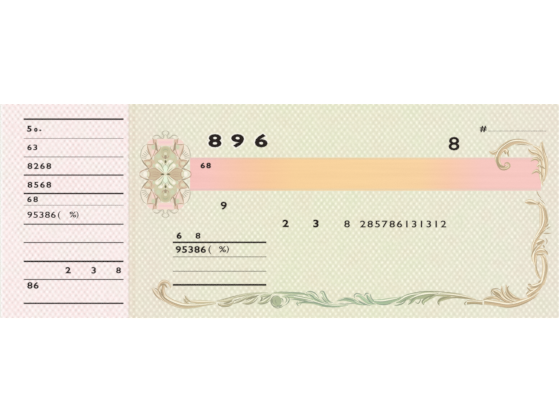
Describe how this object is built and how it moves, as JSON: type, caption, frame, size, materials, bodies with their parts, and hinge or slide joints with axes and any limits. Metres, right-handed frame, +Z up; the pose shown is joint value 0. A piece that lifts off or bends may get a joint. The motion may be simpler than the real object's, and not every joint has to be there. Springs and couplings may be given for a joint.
{
  "type": "receipt book",
  "caption": "Cheque-format receipt book: perforated leaves glue-bound at the short edge on a board, with spine tape and a card cover folded beneath.",
  "frame": {"origin": "middle of the whole book, on the surface that it lies on", "axes": "+X along the leaves, away from the spine; +Y to the leaves' top edge; +Z up, out of the first leaf's printed face"},
  "size_m": [0.2306, 0.088, 0.0068],
  "materials": {
    "stub_paper": "matte",
    "receipt_paper": "matte",
    "leaf_paper": "matte",
    "chipboard": "rough",
    "dried_glue": "satin",
    "cloth_tape": "woven",
    "cover_card": "matte"
  },
  "bodies": {
    "book": {"leaf_02": "leaf_paper", "leaf_03": "leaf_paper", "leaf_04": "leaf_paper", "leaf_05": "leaf_paper", "leaf_06": "leaf_paper", "leaf_07": "leaf_paper", "leaf_08": "leaf_paper", "leaf_09": "leaf_paper", "leaf_10": "leaf_paper", "leaf_11": "leaf_paper", "leaf_12": "leaf_paper", "leaf_13": "leaf_paper", "leaf_14": "leaf_paper", "leaf_15": "leaf_paper", "leaf_16": "leaf_paper", "leaf_17": "leaf_paper", "leaf_18": "leaf_paper", "leaf_19": "leaf_paper", "leaf_20": "leaf_paper", "leaf_21": "leaf_paper", "leaf_22": "leaf_paper", "leaf_23": "leaf_paper", "leaf_24": "leaf_paper", "leaf_25": "leaf_paper", "leaf_26": "leaf_paper", "leaf_27": "leaf_paper", "leaf_28": "leaf_paper", "leaf_29": "leaf_paper", "leaf_30": "leaf_paper", "leaf_31": "leaf_paper", "leaf_32": "leaf_paper", "leaf_33": "leaf_paper", "leaf_34": "leaf_paper", "leaf_35": "leaf_paper", "leaf_36": "leaf_paper", "leaf_37": "leaf_paper", "leaf_38": "leaf_paper", "leaf_39": "leaf_paper", "leaf_40": "leaf_paper", "leaf_41": "leaf_paper", "leaf_42": "leaf_paper", "leaf_43": "leaf_paper", "leaf_44": "leaf_paper", "leaf_45": "leaf_paper", "leaf_46": "leaf_paper", "leaf_47": "leaf_paper", "leaf_48": "leaf_paper", "leaf_49": "leaf_paper", "leaf_50": "leaf_paper", "back_board": "chipboard", "spine_glue": "dried_glue", "spine_tape": "cloth_tape"},
    "hinge_strip": {"cover_hinge_strip": "cover_card", "cover_tape_flap": "cloth_tape"},
    "cover": {"front_cover": "cover_card"},
    "first_stub": {"stub_01": "stub_paper"},
    "perforation": {"perforation_01": "leaf_paper"},
    "first_receipt": {"receipt_01": "receipt_paper"}
  },
  "joints": [
    {"name": "cover_hinge", "type": "hinge", "parent": "book", "child": "hinge_strip", "pos_m": [-0.11557, 0, 0.00679], "axis": [0, -1, 0], "range_deg": [-270, 0]},
    {"name": "cover_fold", "type": "hinge", "parent": "hinge_strip", "child": "cover", "pos_m": [-0.11492, 0, 0.00035], "axis": [0, -1, 0], "range_deg": [-90, 0]},
    {"name": "leaf_turn", "type": "hinge", "parent": "book", "child": "first_stub", "pos_m": [-0.11373, 0, 0.00679], "axis": [0, -1, 0], "range_deg": [0, 180]},
    {"name": "receipt_fold", "type": "hinge", "parent": "first_stub", "child": "perforation", "pos_m": [-0.06153, 0, 0.00679], "axis": [0, -1, 0], "range_deg": [0, 150]},
    {"name": "receipt_tear_off", "type": "slide", "parent": "perforation", "child": "first_receipt", "axis": [1, 0, 0], "range_m": [0, 0.18]}
  ]
}
